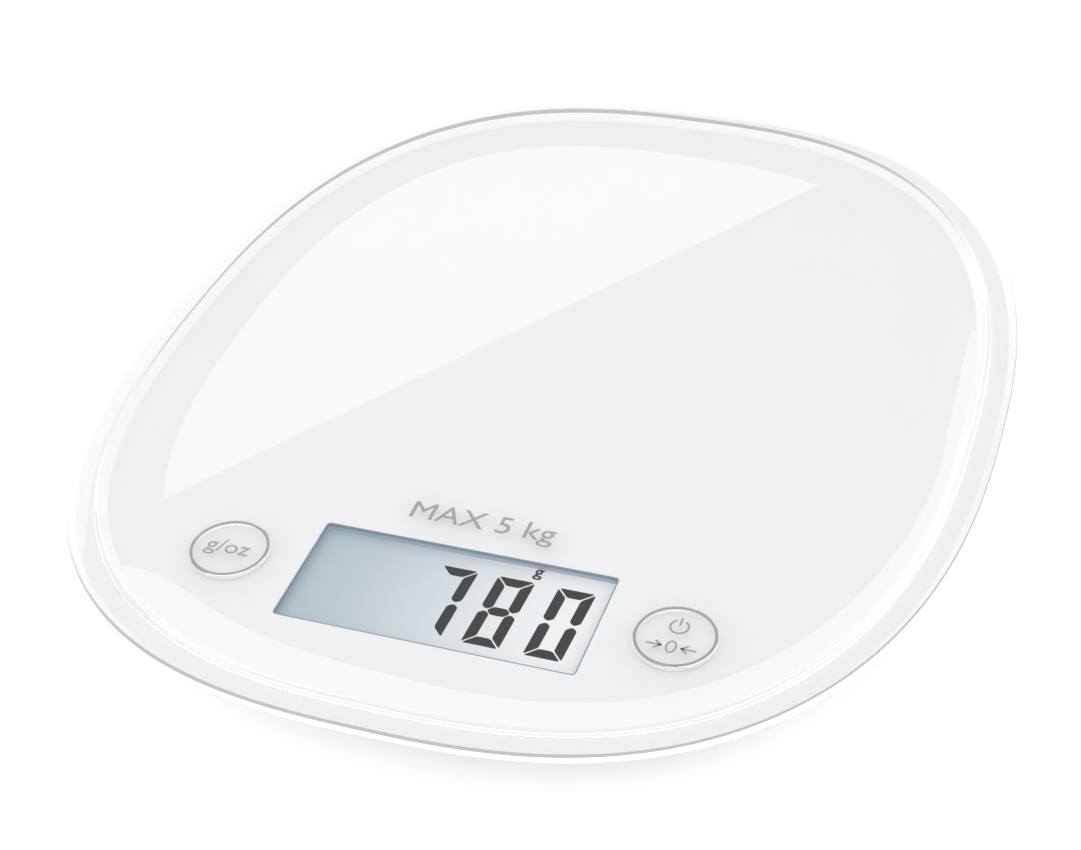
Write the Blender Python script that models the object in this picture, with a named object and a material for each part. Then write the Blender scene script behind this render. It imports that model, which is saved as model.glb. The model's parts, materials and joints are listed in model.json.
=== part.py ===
"""Digital kitchen scale with a clear moulded weighing tray over a white deck.

The body stands on four feet, each carried by the free end of a sensor bar that is
screwed to the bottom shell. Two keys in the tray press switches on the main board,
and a hinged door on the underside closes the coin cell's compartment.

Sizes here are millimetres and become metres when a mesh is made. +Z is up, +Y runs
to the back, and the origin is under the middle of the outline, on the table.
"""

import math

import bmesh
import bpy
from mathutils import Matrix, Vector

MM = 0.001
GAP = 0.3  # clearance between neighbouring pieces

# Plan outline, a soft rounded square a little wider at the front
HALF_WIDTH = 93.5
HALF_LENGTH = 110.3
SIDE_POWER = 2.6
END_POWER = 2.45
FRONT_SPREAD = 0.027
OUTLINE_STEPS = 72

# Heights
TOTAL_HEIGHT = 20.0
RIM_RISE = 3.4
PLATFORM_Z = TOTAL_HEIGHT - RIM_RISE
TRAY_THICKNESS = 2.0
TRAY_UNDER_Z = PLATFORM_Z - TRAY_THICKNESS
DECK_TOP_Z = TRAY_UNDER_Z - GAP
DECK_THICKNESS = 1.2
DECK_UNDER_Z = DECK_TOP_Z - DECK_THICKNESS
PAN_BOTTOM_Z = 3.4
PAN_THICKNESS = 1.8
PAN_FLOOR_Z = PAN_BOTTOM_Z + PAN_THICKNESS
PAN_TOP_Z = 13.5

# Cross-section, as distances in from the outline
RIM_WIDTH = 6.5
WALL_FOOT_INSET = 8.7  # where the steep wall inside the rim meets the skirt
PLATFORM_INSET = 19.0
SKIRT_SLOPE = 0.35
SKIRT_CURVE = 0.9
SKIRT_POWER = 1.6

# Display and keys
DISPLAY_Y = -69.2
WINDOW_SIZE = (61.3, 27.4)
WINDOW_CORNER = 0.9
LCD_SIZE = (66.0, 31.0)
LCD_THICKNESS = 2.8
LCD_TOP_Z = DECK_UNDER_Z - GAP
LCD_UNDER_Z = LCD_TOP_Z - LCD_THICKNESS
KEY_X = 45.8
KEY_RADIUS = 8.0
KEY_CAP_THICKNESS = 1.7
KEY_CAP_EDGE = 0.15
PLUNGER_RADIUS = 7.6
PLUNGER_STEM_RADIUS = 2.2
FLANGE_RADIUS = 9.0
FLANGE_THICKNESS = 1.2
STEM_LENGTH = 0.7
SWITCH_HALF = 3.1
SWITCH_BUTTON_RADIUS = 1.7

# Main board
BOARD_THICKNESS = 1.2
BOARD_TOP_Z = 8.6
BOARD_UNDER_Z = BOARD_TOP_Z - BOARD_THICKNESS
BOARD_HALF_WIDTH = 56.0
BOARD_BACK_Y = -51.0
BOARD_FRONT_Y = -84.2
BOARD_FRONT_HALF = 38.0
BOARD_SIDE_Y = -69.5
BOARD_SCREWS = ((-42.0, -54.6), (42.0, -54.6))

# Battery compartment and door
CELL_Y = -14.0
CELL_RADIUS = 10.0
CELL_THICKNESS = 3.2
CELL_UNDER_Z = PAN_FLOOR_Z
POCKET_HALF = 12.0
POCKET_TOP_Z = 9.0
TUB_HALF_WIDTH = 16.6
TUB_TOP_Z = 10.2
DOOR_HALF_WIDTH = 14.5
DOOR_LENGTH = 30.0
DOOR_THICKNESS = 1.5
DOOR_HINGE_EDGE_Y = 1.0
HINGE_PIN_RADIUS = 0.4
HINGE_Y = DOOR_HINGE_EDGE_Y - DOOR_THICKNESS / 2
HINGE_Z = PAN_BOTTOM_Z + DOOR_THICKNESS / 2 + 0.1

# Feet and sensor bars: corner name, x, y, and which way the bar runs to its clamp
CORNERS = (
    ("front_left", -55.0, -42.0, 1),
    ("front_right", 55.0, -42.0, 1),
    ("rear_left", -46.0, 58.0, -1),
    ("rear_right", 46.0, 58.0, -1),
)
BAR_WIDTH = 12.0
BAR_THICKNESS = 3.0
BAR_UNDER_Z = 7.0
BAR_TOP_Z = BAR_UNDER_Z + BAR_THICKNESS
BAR_OVERHANG = 6.0  # past the foot's centre
BAR_REACH = 28.0  # from the foot's centre to the clamped end
CLAMP_REACH = 24.0  # from the foot's centre to the clamping screws
FLEX_REACH = 18.0  # from the foot's centre to the line where the bar bends
CLAMP_SCREW_SPREAD = 3.2
FOOT_RADIUS = 10.0
FOOT_NECK_RADIUS = 4.0
PAD_RADIUS = 9.0
PAD_THICKNESS = 1.0

# Screws that hold the bottom shell to the deck
HOUSING_SCREWS = (
    (-30.0, -44.0),
    (30.0, -44.0),
    (-33.0, 18.0),
    (33.0, 18.0),
    (-27.0, 76.0),
    (27.0, 76.0),
)


# ---------------------------------------------------------------- materials


def material(name, colour, roughness, metallic=0.0):
    made = bpy.data.materials.new(name)
    made.use_nodes = True
    shader = made.node_tree.nodes["Principled BSDF"]
    shader.inputs["Base Color"].default_value = (*colour, 1.0)
    shader.inputs["Roughness"].default_value = roughness
    shader.inputs["Metallic"].default_value = metallic
    return made


def make_materials():
    return {
        "clear_plastic": material("clear_plastic", (0.93, 0.93, 0.93), 0.06),
        "white_plastic": material("white_plastic", (0.86, 0.86, 0.85), 0.3),
        "display_glass": material("display_glass", (0.58, 0.66, 0.72), 0.12),
        "frame_plastic": material("frame_plastic", (0.75, 0.76, 0.77), 0.45),
        "black_rubber": material("black_rubber", (0.03, 0.03, 0.03), 0.8),
        "grey_rubber": material("grey_rubber", (0.42, 0.42, 0.43), 0.75),
        "circuit_board": material("circuit_board", (0.04, 0.20, 0.09), 0.4),
        "epoxy": material("epoxy", (0.02, 0.02, 0.022), 0.35),
        "switch_plastic": material("switch_plastic", (0.05, 0.05, 0.055), 0.5),
        "steel": material("steel", (0.62, 0.62, 0.63), 0.28, 1.0),
        "nickel": material("nickel", (0.72, 0.70, 0.66), 0.2, 1.0),
        "aluminium": material("aluminium", (0.77, 0.78, 0.79), 0.32, 1.0),
        "red_insulation": material("red_insulation", (0.55, 0.03, 0.03), 0.45),
        "black_insulation": material("black_insulation", (0.02, 0.02, 0.02), 0.45),
        "grey_insulation": material("grey_insulation", (0.35, 0.35, 0.36), 0.45),
        "label_film": material("label_film", (0.70, 0.71, 0.72), 0.4),
    }


# ------------------------------------------------------------ mesh building


def add_object(name, shape, finish, origin=(0.0, 0.0, 0.0)):
    """Puts a shape drawn in millimetres into the scene, with its origin at origin."""
    bmesh.ops.translate(shape, verts=shape.verts, vec=-Vector(origin))
    bmesh.ops.scale(shape, verts=shape.verts, vec=(MM, MM, MM))
    bmesh.ops.recalc_face_normals(shape, faces=shape.faces)
    mesh = bpy.data.meshes.new(name)
    shape.to_mesh(mesh)
    shape.free()
    made = bpy.data.objects.new(name, mesh)
    made.location = Vector(origin) * MM
    bpy.context.collection.objects.link(made)
    if finish:
        mesh.materials.append(finish)
        mesh.shade_smooth()
        mesh.set_sharp_from_angle(angle=math.radians(32))
    return made


def add_modifier_shape(target, name, shape, operation):
    """Adds or cuts a shape by a Boolean whose other mesh stays hidden."""
    helper = add_object(name, shape, None)
    helper.hide_render = True
    helper.display_type = "WIRE"
    boolean = target.modifiers.new(name, "BOOLEAN")
    boolean.operation = operation
    boolean.solver = "EXACT"
    boolean.object = helper


def box(shape, low, high):
    size = [high[i] - low[i] for i in range(3)]
    middle = [(high[i] + low[i]) / 2 for i in range(3)]
    place = Matrix.Translation(middle) @ Matrix.Diagonal((*size, 1.0))
    bmesh.ops.create_cube(shape, size=1.0, matrix=place)


def turned(shape, x, y, steps, sides):
    """A solid turned about a vertical line, from (radius, z) steps, top to bottom."""
    rings = []
    for radius, z in steps:
        ring = []
        for i in range(sides):
            turn = math.tau * (i + 0.5) / sides
            ring.append(shape.verts.new((x + radius * math.cos(turn), y + radius * math.sin(turn), z)))
        rings.append(ring)
    join_rings(shape, rings)


def join_rings(shape, rings):
    """Faces between neighbouring rings, and a flat cap on the first and the last."""
    count = len(rings[0])
    for upper, lower in zip(rings, rings[1:]):
        for i in range(count):
            j = (i + 1) % count
            shape.faces.new((upper[i], lower[i], lower[j], upper[j]))
    shape.faces.new(rings[0])
    shape.faces.new(rings[-1])


def plate(shape, corners, low, high):
    """An upright prism over a plan outline."""
    top = [shape.verts.new((x, y, high)) for x, y in corners]
    bottom = [shape.verts.new((x, y, low)) for x, y in corners]
    join_rings(shape, [top, bottom])


def rounded_rectangle(half_x, half_y, centre_y, radius, steps=4):
    corners = []
    for quarter, (sx, sy) in enumerate(((1, 1), (-1, 1), (-1, -1), (1, -1))):
        for i in range(steps + 1):
            turn = math.radians(90) * (quarter + i / steps)
            x = sx * (half_x - radius) + radius * math.cos(turn)
            y = sy * (half_y - radius) + radius * math.sin(turn)
            corners.append((x, centre_y + y))
    return corners


# ------------------------------------------------------------- plan outline


def signed_power(value, power):
    return math.copysign(abs(value) ** power, value)


def outline_point(turn):
    """A point of the outline, by angle from the back towards +X."""
    along = signed_power(math.cos(turn), 2 / END_POWER)
    across = signed_power(math.sin(turn), 2 / SIDE_POWER)
    width = HALF_WIDTH * (1 - FRONT_SPREAD * along)
    return Vector((width * across, HALF_LENGTH * along))


def outline(count):
    """Evenly spaced points of the outline, each with its outward direction."""
    fine = 4000
    path = [outline_point(math.tau * i / fine) for i in range(fine + 1)]
    run = [0.0]
    for a, b in zip(path, path[1:]):
        run.append(run[-1] + (b - a).length)
    points = []
    k = 0
    for i in range(count):
        want = run[-1] * i / count
        while run[k + 1] < want:
            k += 1
        share = (want - run[k]) / (run[k + 1] - run[k])
        points.append(path[k].lerp(path[k + 1], share))
    made = []
    for i, point in enumerate(points):
        along = points[(i + 1) % count] - points[i - 1]
        outward = Vector((-along.y, along.x)).normalized()
        made.append((point, outward))
    return made


def loft(shape, section):
    """A closed solid whose rings follow the outline, from (inset, z) steps."""
    border = outline(OUTLINE_STEPS)
    rings = []
    for inset, z in section:
        rings.append([shape.verts.new((*(point - outward * inset), z)) for point, outward in border])
    join_rings(shape, rings)


def skirt_steps(count, drop):
    """(inset, z) steps down the skirt from the wall's foot to the platform, lowered by drop."""
    steps = []
    for i in range(count + 1):
        left = 1 - i / count
        height = SKIRT_SLOPE * left + SKIRT_CURVE * left**SKIRT_POWER
        inset = PLATFORM_INSET - (PLATFORM_INSET - WALL_FOOT_INSET) * left
        steps.append((inset, PLATFORM_Z + height - drop))
    return steps


# ------------------------------------------------------------ outer pieces


def make_tray(finish):
    """Clear dished tray: round edge, flat rim, steep wall, sloping skirt, flat platform."""
    wall = [
        (RIM_WIDTH + 1.6, TOTAL_HEIGHT - 1.85),
        (RIM_WIDTH + 0.5, TOTAL_HEIGHT - 0.4),
        (RIM_WIDTH + 0.1, TOTAL_HEIGHT - 0.07),
        (RIM_WIDTH - 0.5, TOTAL_HEIGHT),
    ]
    rim = [
        (1.0, TOTAL_HEIGHT),
        (0.3, TOTAL_HEIGHT - 0.25),
        (0.0, TOTAL_HEIGHT - 0.8),
        (0.0, TOTAL_HEIGHT - 1.4),
        (0.5, TOTAL_HEIGHT - TRAY_THICKNESS),
        (RIM_WIDTH - 0.9, TOTAL_HEIGHT - TRAY_THICKNESS),
        (WALL_FOOT_INSET - 1.5, TOTAL_HEIGHT - 2 * TRAY_THICKNESS),
    ]
    shape = bmesh.new()
    loft(shape, skirt_steps(5, 0.0)[::-1] + wall + rim + skirt_steps(4, TRAY_THICKNESS))
    tray = add_object("platform_tray", shape, finish)
    holes = bmesh.new()
    key_hole = hole_steps(KEY_RADIUS + GAP, TRAY_UNDER_Z, PLATFORM_Z)
    for side in (-1, 1):
        turned(holes, side * KEY_X, DISPLAY_Y, key_hole, 36)
    add_modifier_shape(tray, "key_openings_in_tray", holes, "DIFFERENCE")


def hole_steps(radius, low, high):
    """Steps for a cutter that runs one millimetre past both faces."""
    return [(radius, high + 1.0), (radius, low - 1.0)]


def make_deck(finish):
    """White deck under the tray: rim shelf, display window, key holes and bosses."""
    shelf_z = TOTAL_HEIGHT - TRAY_THICKNESS - GAP
    upper = skirt_steps(4, TRAY_THICKNESS + GAP)
    lower = skirt_steps(4, TRAY_THICKNESS + GAP + DECK_THICKNESS)
    edge = [
        (WALL_FOOT_INSET - 1.65, shelf_z - TRAY_THICKNESS),
        (RIM_WIDTH - 1.15, shelf_z),
        (1.9, shelf_z),
        (1.9, shelf_z - 1.0),
        (RIM_WIDTH - 1.6, shelf_z - 1.0),
        (WALL_FOOT_INSET - 2.2, shelf_z - 3.1),
    ]
    shape = bmesh.new()
    loft(shape, upper[::-1] + edge + lower)
    deck = add_object("deck_panel", shape, finish)

    bosses = bmesh.new()
    middle = DECK_TOP_Z - DECK_THICKNESS / 2
    for x, y in HOUSING_SCREWS:
        turned(bosses, x, y, [(3.0, middle), (3.0, 8.5)], 16)
    for x, y in BOARD_SCREWS:
        turned(bosses, x, y, [(2.6, middle), (2.6, BOARD_TOP_Z + GAP)], 16)
    add_modifier_shape(deck, "deck_bosses", bosses, "UNION")

    cuts = bmesh.new()
    window = rounded_rectangle(WINDOW_SIZE[0] / 2, WINDOW_SIZE[1] / 2, DISPLAY_Y, WINDOW_CORNER)
    plate(cuts, window, DECK_UNDER_Z - 1.0, DECK_TOP_Z + 1.0)
    key_hole = hole_steps(PLUNGER_RADIUS + GAP, DECK_UNDER_Z, DECK_TOP_Z)
    for side in (-1, 1):
        turned(cuts, side * KEY_X, DISPLAY_Y, key_hole, 28)
    for x, y in HOUSING_SCREWS:
        turned(cuts, x, y, [(1.4, DECK_UNDER_Z - 0.6), (1.4, 7.5)], 12)
    for x, y in BOARD_SCREWS:
        turned(cuts, x, y, [(1.3, DECK_UNDER_Z - 0.6), (1.3, 7.5)], 12)
    add_modifier_shape(deck, "deck_openings", cuts, "DIFFERENCE")


def make_pan(finish):
    """White bottom shell: a shallow bowl with the battery tub, bosses and foot holes."""
    outer = [(9.8, PAN_TOP_Z), (10.0, 11.6), (12.2, 8.7), (15.9, 5.4), (19.0, 3.8), (21.5, PAN_BOTTOM_Z)]
    inner = [(11.6, PAN_TOP_Z), (11.8, 12.0), (14.0, 9.4), (17.4, 6.6), (21.5, PAN_FLOOR_Z)]
    shape = bmesh.new()
    loft(shape, inner[::-1] + outer)
    pan = add_object("base_pan", shape, finish)

    middle = PAN_BOTTOM_Z + PAN_THICKNESS / 2
    tub_front = DOOR_HINGE_EDGE_Y - DOOR_LENGTH - 2.2
    tub_back = DOOR_HINGE_EDGE_Y + 2.2
    raised = bmesh.new()
    box(raised, (-TUB_HALF_WIDTH, tub_front, middle), (TUB_HALF_WIDTH, tub_back, TUB_TOP_Z))
    for _, x, y, way in CORNERS:
        clamp_y = y + way * CLAMP_REACH
        box(raised, (x - 6.0, clamp_y - 4.5, middle), (x + 6.0, clamp_y + 4.5, BAR_UNDER_Z - GAP))
    for x, y in HOUSING_SCREWS:
        turned(raised, x, y, [(3.8, 8.2), (3.8, middle)], 16)
    add_modifier_shape(pan, "pan_bosses", raised, "UNION")

    cuts = bmesh.new()
    pocket_front, pocket_back = CELL_Y - POCKET_HALF, CELL_Y + POCKET_HALF
    box(cuts, (-POCKET_HALF, pocket_front, 4.0), (POCKET_HALF, pocket_back, POCKET_TOP_Z))
    add_modifier_shape(pan, "battery_pocket", cuts, "DIFFERENCE")
    make_door_recess(pan)

    holes = bmesh.new()
    for _, x, y, way in CORNERS:
        turned(holes, x, y, hole_steps(FOOT_NECK_RADIUS + 1.2, PAN_BOTTOM_Z, PAN_FLOOR_Z), 24)
        for side in (-1, 1):
            screw_x = x + side * CLAMP_SCREW_SPREAD
            turned(holes, screw_x, y + way * CLAMP_REACH, [(1.5, 8.0), (1.5, 4.2)], 10)
    for x, y in HOUSING_SCREWS:
        turned(holes, x, y, [(1.5, 9.0), (1.5, 6.0), (2.8, 6.0), (2.8, 2.4)], 16)
    add_modifier_shape(pan, "pan_holes", holes, "DIFFERENCE")


def make_door_recess(pan):
    """Opening in the pan's floor that the door closes, with sockets for its pins."""
    half = DOOR_HALF_WIDTH + GAP
    front = DOOR_HINGE_EDGE_Y - DOOR_LENGTH - GAP
    cut = bmesh.new()
    box(cut, (-half, front, PAN_BOTTOM_Z - 1.0), (half, DOOR_HINGE_EDGE_Y + GAP, PAN_FLOOR_Z))
    add_modifier_shape(pan, "door_recess", cut, "DIFFERENCE")
    sockets = bmesh.new()
    reach = DOOR_HALF_WIDTH + 1.5
    rod(sockets, (-reach, HINGE_Y, HINGE_Z), (reach, HINGE_Y, HINGE_Z), HINGE_PIN_RADIUS + 0.25, 16)
    add_modifier_shape(pan, "hinge_sockets", sockets, "DIFFERENCE")


def rod(shape, start, end, radius, sides):
    """A round bar along X between two points."""
    rings = []
    for x, y, z in (start, end):
        ring = []
        for i in range(sides):
            turn = math.tau * (i + 0.5) / sides
            ring.append(shape.verts.new((x, y + radius * math.cos(turn), z + radius * math.sin(turn))))
        rings.append(ring)
    join_rings(shape, rings)


def make_battery_door(finish):
    """Flat door with a rounded hinge edge, two pins, a latch tongue and a grip notch."""
    front = DOOR_HINGE_EDGE_Y - DOOR_LENGTH
    thick = DOOR_THICKNESS
    centre_z = PAN_BOTTOM_Z + thick / 2
    side_view = [(front, PAN_BOTTOM_Z + thick), (front, PAN_BOTTOM_Z)]
    for i in range(7):
        turn = math.radians(-90 + 30 * i)
        side_view.append((HINGE_Y + thick / 2 * math.cos(turn), centre_z + thick / 2 * math.sin(turn)))
    shape = bmesh.new()
    ends = []
    for x in (-DOOR_HALF_WIDTH, DOOR_HALF_WIDTH):
        ends.append([shape.verts.new((x, y, z)) for y, z in side_view])
    join_rings(shape, ends)
    origin = (0.0, HINGE_Y, HINGE_Z)
    door = add_object("battery_door", shape, finish, origin)

    pins = bmesh.new()
    for side in (-1, 1):
        start = (side * (DOOR_HALF_WIDTH - 1.0), HINGE_Y, HINGE_Z)
        end = (side * (DOOR_HALF_WIDTH + 1.2), HINGE_Y, HINGE_Z)
        rod(pins, start, end, HINGE_PIN_RADIUS, 12)
    add_modifier_shape(door, "door_pins", pins, "UNION")

    cuts = bmesh.new()
    for side in (-1, 1):
        inner, outer = side * 4.2, side * 5.0
        box(cuts, (min(inner, outer), front - 1, 2.4), (max(inner, outer), front + 8.0, 6.0))
    box(cuts, (-3.0, front - 1, PAN_BOTTOM_Z - 1.0), (3.0, front + 1.6, PAN_BOTTOM_Z + 0.8))
    add_modifier_shape(door, "door_slots", cuts, "DIFFERENCE")


def make_label(finish):
    """Blank rating label on the underside, behind the battery door."""
    shape = bmesh.new()
    plate(shape, rounded_rectangle(17.0, 9.5, 40.0, 1.5), PAN_BOTTOM_Z - 0.35, PAN_BOTTOM_Z - 0.15)
    add_object("rating_label", shape, finish)


# ---------------------------------------------------------- display and keys


def make_display(finishes):
    """The liquid crystal cell in its holder, over a reflector and a contact strip."""
    half_x, half_y = LCD_SIZE[0] / 2, LCD_SIZE[1] / 2
    glass = bmesh.new()
    plate(glass, rounded_rectangle(half_x, half_y, DISPLAY_Y, 0.4, 2), LCD_UNDER_Z, LCD_TOP_Z)
    add_object("lcd_glass", glass, finishes["display_glass"])

    frame_low = BOARD_TOP_Z + GAP
    frame = bmesh.new()
    plate(frame, rounded_rectangle(half_x + 2.2, half_y + 2.0, DISPLAY_Y, 1.2), frame_low, LCD_TOP_Z - 0.2)
    frame_object = add_object("lcd_frame", frame, finishes["frame_plastic"])
    opening = bmesh.new()
    inner = rounded_rectangle(half_x + GAP, half_y + GAP, DISPLAY_Y, 0.6, 2)
    plate(opening, inner, frame_low - 1.0, LCD_TOP_Z + 1.0)
    add_modifier_shape(frame_object, "lcd_frame_opening", opening, "DIFFERENCE")

    reflector = bmesh.new()
    low, high = frame_low, LCD_UNDER_Z - GAP
    box(reflector, (-half_x, DISPLAY_Y - half_y + 4.4, low), (half_x, DISPLAY_Y + half_y, high))
    add_object("lcd_reflector", reflector, finishes["white_plastic"])

    strip = bmesh.new()
    strip_y = DISPLAY_Y - half_y + 2.2
    box(strip, (-half_x + 2, strip_y - 1.2, low), (half_x - 2, strip_y + 1.2, high))
    add_object("lcd_contact_strip", strip, finishes["black_rubber"])


def make_board(finish):
    """Board whose front corners are cut off to follow the outline."""
    corners = [
        (-BOARD_HALF_WIDTH, BOARD_BACK_Y),
        (-BOARD_HALF_WIDTH, BOARD_SIDE_Y),
        (-BOARD_FRONT_HALF, BOARD_FRONT_Y),
        (BOARD_FRONT_HALF, BOARD_FRONT_Y),
        (BOARD_HALF_WIDTH, BOARD_SIDE_Y),
        (BOARD_HALF_WIDTH, BOARD_BACK_Y),
    ]
    shape = bmesh.new()
    plate(shape, corners, BOARD_UNDER_Z, BOARD_TOP_Z)
    board = add_object("main_board", shape, finish)
    holes = bmesh.new()
    for x, y in BOARD_SCREWS:
        turned(holes, x, y, hole_steps(1.5, BOARD_UNDER_Z, BOARD_TOP_Z), 12)
    add_modifier_shape(board, "board_holes", holes, "DIFFERENCE")


def make_controller(finish):
    """Domed drop of black epoxy over the controller, under the board."""
    steps = [
        (5.0, BOARD_UNDER_Z - GAP),
        (4.8, BOARD_UNDER_Z - 0.7),
        (3.6, BOARD_UNDER_Z - 1.2),
        (1.6, BOARD_UNDER_Z - 1.5),
    ]
    shape = bmesh.new()
    turned(shape, 0.0, DISPLAY_Y, steps, 16)
    add_object("controller_chip", shape, finish)


def make_key(name, x, finishes):
    """A clear cap, the white plunger under it, and the switch that it presses."""
    origin = (x, DISPLAY_Y, PLATFORM_Z)
    cap_low = PLATFORM_Z - KEY_CAP_THICKNESS
    cap = bmesh.new()
    steps = [
        (KEY_RADIUS - KEY_CAP_EDGE, PLATFORM_Z),
        (KEY_RADIUS, PLATFORM_Z - KEY_CAP_EDGE),
        (KEY_RADIUS, cap_low),
    ]
    turned(cap, x, DISPLAY_Y, steps, 36)
    add_object(name + "_key_cap", cap, finishes["clear_plastic"], origin)

    flange_top = DECK_UNDER_Z - GAP
    flange_under = flange_top - FLANGE_THICKNESS
    stem_end = flange_under - STEM_LENGTH
    plunger = bmesh.new()
    steps = [
        (PLUNGER_RADIUS, cap_low - GAP),
        (PLUNGER_RADIUS, flange_top),
        (FLANGE_RADIUS, flange_top),
        (FLANGE_RADIUS, flange_under),
        (PLUNGER_STEM_RADIUS, flange_under),
        (PLUNGER_STEM_RADIUS, stem_end),
    ]
    turned(plunger, x, DISPLAY_Y, steps, 28)
    add_object(name + "_key_plunger", plunger, finishes["white_plastic"], origin)

    button_top = stem_end - 0.2
    radius = SWITCH_BUTTON_RADIUS
    button = bmesh.new()
    steps = [(radius - 0.2, button_top), (radius, button_top - 0.2), (radius, button_top - 1.2)]
    turned(button, x, DISPLAY_Y, steps, 16)
    add_object(name + "_switch_button", button, finishes["switch_plastic"], origin)

    body_low = BOARD_TOP_Z + GAP
    switch = bmesh.new()
    corners = rounded_rectangle(SWITCH_HALF, SWITCH_HALF, DISPLAY_Y, 0.5, 2)
    plate(switch, corners, body_low, button_top - 0.4)
    bmesh.ops.translate(switch, verts=switch.verts, vec=(x, 0.0, 0.0))
    body = add_object(name + "_switch", switch, finishes["steel"])
    bore = bmesh.new()
    turned(bore, x, DISPLAY_Y, [(radius + GAP, button_top + 1.0), (radius + GAP, body_low + 0.2)], 16)
    add_modifier_shape(body, name + "_switch_bore", bore, "DIFFERENCE")


# ------------------------------------------------------------------- battery


def make_battery(finishes):
    """The coin cell, a spring strip over it and a strip that touches its side."""
    cell = bmesh.new()
    top = CELL_UNDER_Z + CELL_THICKNESS
    steps = [
        (8.6, top),
        (8.8, top - 0.4),
        (CELL_RADIUS, top - 0.5),
        (CELL_RADIUS, CELL_UNDER_Z + 0.25),
        (CELL_RADIUS - 0.25, CELL_UNDER_Z),
    ]
    turned(cell, 0.0, CELL_Y, steps, 32)
    add_object("coin_cell", cell, finishes["steel"])

    negative = bmesh.new()
    low = top + 0.12
    box(negative, (-3.0, CELL_Y - 8.0, low), (3.0, CELL_Y + 11.6, low + 0.28))
    add_object("battery_contact_negative", negative, finishes["nickel"])

    positive = bmesh.new()
    inner = CELL_RADIUS + 0.3
    section = [
        (inner, CELL_UNDER_Z + 0.5),
        (inner + 0.3, CELL_UNDER_Z + 0.5),
        (inner + 0.3, top - 0.2),
        (inner + 1.4, top - 0.2),
        (inner + 1.4, top + 0.1),
        (inner, top + 0.1),
    ]
    ends = []
    for y in (CELL_Y - 3.5, CELL_Y + 3.5):
        ends.append([positive.verts.new((x, y, z)) for x, z in section])
    join_rings(positive, ends)
    add_object("battery_contact_positive", positive, finishes["nickel"])


# ------------------------------------------------------------ feet and bars


def make_corner(name, x, y, way, finishes):
    """A sensor bar with its foot, pad and screws. The bar bends at its flex line."""
    origin = (x, y + way * FLEX_REACH, BAR_UNDER_Z)
    make_bar(name, x, y, way, finishes["aluminium"], origin)

    foot_under = PAD_THICKNESS + 0.3
    foot_top = PAN_BOTTOM_Z - 0.7
    foot = bmesh.new()
    steps = [
        (FOOT_NECK_RADIUS, BAR_UNDER_Z - 0.2),
        (FOOT_NECK_RADIUS, foot_top),
        (FOOT_RADIUS - 0.6, foot_top),
        (FOOT_RADIUS, foot_top - 0.5),
        (FOOT_RADIUS, foot_under),
    ]
    turned(foot, x, y, steps, 24)
    foot_object = add_object("foot_" + name, foot, finishes["white_plastic"], origin)
    bore = bmesh.new()
    turned(bore, x, y, [(1.5, BAR_TOP_Z), (1.5, 3.2)], 12)
    add_modifier_shape(foot_object, "foot_bore_" + name, bore, "DIFFERENCE")

    pad = bmesh.new()
    turned(pad, x, y, [(PAD_RADIUS, PAD_THICKNESS), (PAD_RADIUS, 0.3), (PAD_RADIUS - 0.3, 0.0)], 24)
    add_object("foot_pad_" + name, pad, finishes["grey_rubber"], origin)

    add_screw("foot_screw_" + name, x, y, BAR_TOP_Z + 0.2, 1.2, 5.8, finishes["steel"], origin)
    for index, side in enumerate((-1, 1)):
        screw_name = f"bar_screw_{name}_{index + 1}"
        screw_x = x + side * CLAMP_SCREW_SPREAD
        screw_y = y + way * CLAMP_REACH
        add_screw(screw_name, screw_x, screw_y, BAR_TOP_Z + 0.3, 1.1, 5.4, finishes["steel"])


def make_bar(name, x, y, way, finish, origin):
    """Flat bar with a narrow waist where the strain gauges sit, and its screw holes."""
    shape = bmesh.new()
    half = BAR_WIDTH / 2
    waist = 3.6
    ends = (-BAR_OVERHANG, 8.0, 10.0, 18.0, 20.0, BAR_REACH)
    widths = (half, half, waist, waist, half, half)
    right = [(x + w, y + way * e) for e, w in zip(ends, widths)]
    left = [(x - w, y + way * e) for e, w in zip(ends[::-1], widths[::-1])]
    plate(shape, right + left, BAR_UNDER_Z, BAR_TOP_Z)
    bar = add_object("sensor_bar_" + name, shape, finish, origin)
    holes = bmesh.new()
    turned(holes, x, y, hole_steps(1.5, BAR_UNDER_Z, BAR_TOP_Z), 12)
    for side in (-1, 1):
        screw_x = x + side * CLAMP_SCREW_SPREAD
        turned(holes, screw_x, y + way * CLAMP_REACH, hole_steps(1.5, BAR_UNDER_Z, BAR_TOP_Z), 12)
    add_modifier_shape(bar, "bar_holes_" + name, holes, "DIFFERENCE")


def add_screw(name, x, y, seat_z, shank_radius, length, finish, origin=(0.0, 0.0, 0.0), up=1):
    """A pan-head screw, its head above seat_z, or below it when up is -1."""
    steps = [
        (shank_radius, seat_z + up * 1.4),
        (shank_radius * 1.9, seat_z + up * 0.9),
        (shank_radius * 2.0, seat_z),
        (shank_radius, seat_z),
        (shank_radius, seat_z - up * (length - 0.8)),
        (shank_radius * 0.35, seat_z - up * length),
    ]
    shape = bmesh.new()
    turned(shape, x, y, steps, 10)
    add_object(name, shape, finish, origin)


# ----------------------------------------------------------- screws and wires


def make_fixings(finishes):
    """Screws that close the housing and screws that hold the board."""
    for index, (x, y) in enumerate(HOUSING_SCREWS):
        add_screw(f"housing_screw_{index + 1}", x, y, 5.7, 1.1, 5.6, finishes["steel"], up=-1)
    for index, (x, y) in enumerate(BOARD_SCREWS):
        seat = BOARD_UNDER_Z - 0.3
        add_screw(f"board_screw_{index + 1}", x, y, seat, 0.9, 5.0, finishes["steel"], up=-1)


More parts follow.
